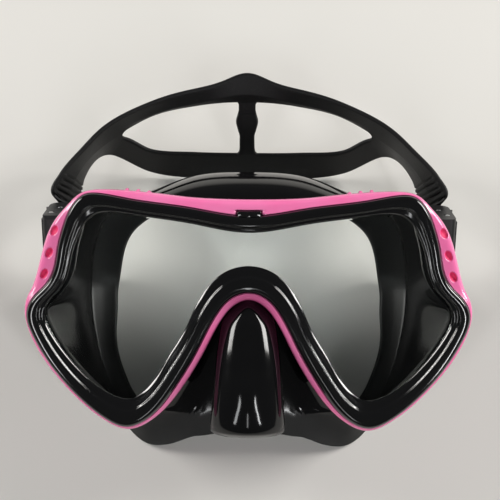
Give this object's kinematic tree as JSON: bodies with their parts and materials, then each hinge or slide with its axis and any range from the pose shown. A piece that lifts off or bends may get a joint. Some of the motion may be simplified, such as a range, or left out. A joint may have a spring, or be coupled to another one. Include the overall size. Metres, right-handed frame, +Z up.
{
  "type": "diving mask",
  "caption": "Single-lens diving mask with a pink frame, black bezel, silicone skirt with nose pocket, and a split silicone strap on swivel buckles with release levers",
  "frame": {"origin": "on the table under the middle of the extent, with the mask lying on the rim of its skirt and the lens facing up and forwards", "axes": "+X to the right of a viewer in front of the lens, +Y away from the viewer towards the strap, +Z up"},
  "size_m": [0.1744, 0.1692, 0.0909],
  "materials": {
    "pink_plastic": "glossy moulded plastic",
    "black_plastic": "glossy moulded plastic",
    "buckle_plastic": "satin moulded plastic",
    "glass": "clear tempered glass",
    "skirt_silicone": "polished silicone with a matte seal",
    "strap_silicone": "matte silicone",
    "steel": "stainless steel",
    "nylon": "plain nylon"
  },
  "bodies": {
    "mask": {"lens": "glass", "bezel": "black_plastic", "frame": "pink_plastic", "skirt": "skirt_silicone", "left_swivel_pin": "steel", "right_swivel_pin": "steel", "left_swivel_washer": "nylon", "right_swivel_washer": "nylon"},
    "strap_assembly": {"strap": "strap_silicone", "left_buckle": "buckle_plastic", "left_roller_axle": "steel", "left_lever_axle": "steel", "left_lever_spring": "steel", "right_buckle": "buckle_plastic", "right_roller_axle": "steel", "right_lever_axle": "steel", "right_lever_spring": "steel"},
    "left_release": {"left_release_lever": "buckle_plastic"},
    "right_release": {"right_release_lever": "buckle_plastic"},
    "left_strap_roller": {"left_roller": "nylon"},
    "right_strap_roller": {"right_roller": "nylon"}
  },
  "joints": [
    {"name": "strap_swivel", "type": "hinge", "parent": "mask", "child": "strap_assembly", "pos_m": [0, -0.01413, 0.0566], "axis": [1, 0, 0], "range_deg": [0, 60]},
    {"name": "left_release_hinge", "type": "hinge", "parent": "strap_assembly", "child": "left_release", "pos_m": [-0.0818, -0.00166, 0.04294], "axis": [0, 0.7388, 0.6739], "range_deg": [0, 18], "stiffness_Nm_per_rad": 0.02, "springref_deg": -20.05},
    {"name": "right_release_hinge", "type": "hinge", "parent": "strap_assembly", "child": "right_release", "pos_m": [0.0818, -0.00166, 0.04294], "axis": [0, -0.7388, -0.6739], "range_deg": [0, 18], "stiffness_Nm_per_rad": 0.02, "springref_deg": -20.05},
    {"name": "left_roller_spin", "type": "hinge", "parent": "strap_assembly", "child": "left_strap_roller", "pos_m": [-0.0794, 0.00373, 0.03703], "axis": [0, 0.7388, 0.6739], "continuous": true},
    {"name": "right_roller_spin", "type": "hinge", "parent": "strap_assembly", "child": "right_strap_roller", "pos_m": [0.0794, 0.00373, 0.03703], "axis": [0, 0.7388, 0.6739], "continuous": true}
  ]
}
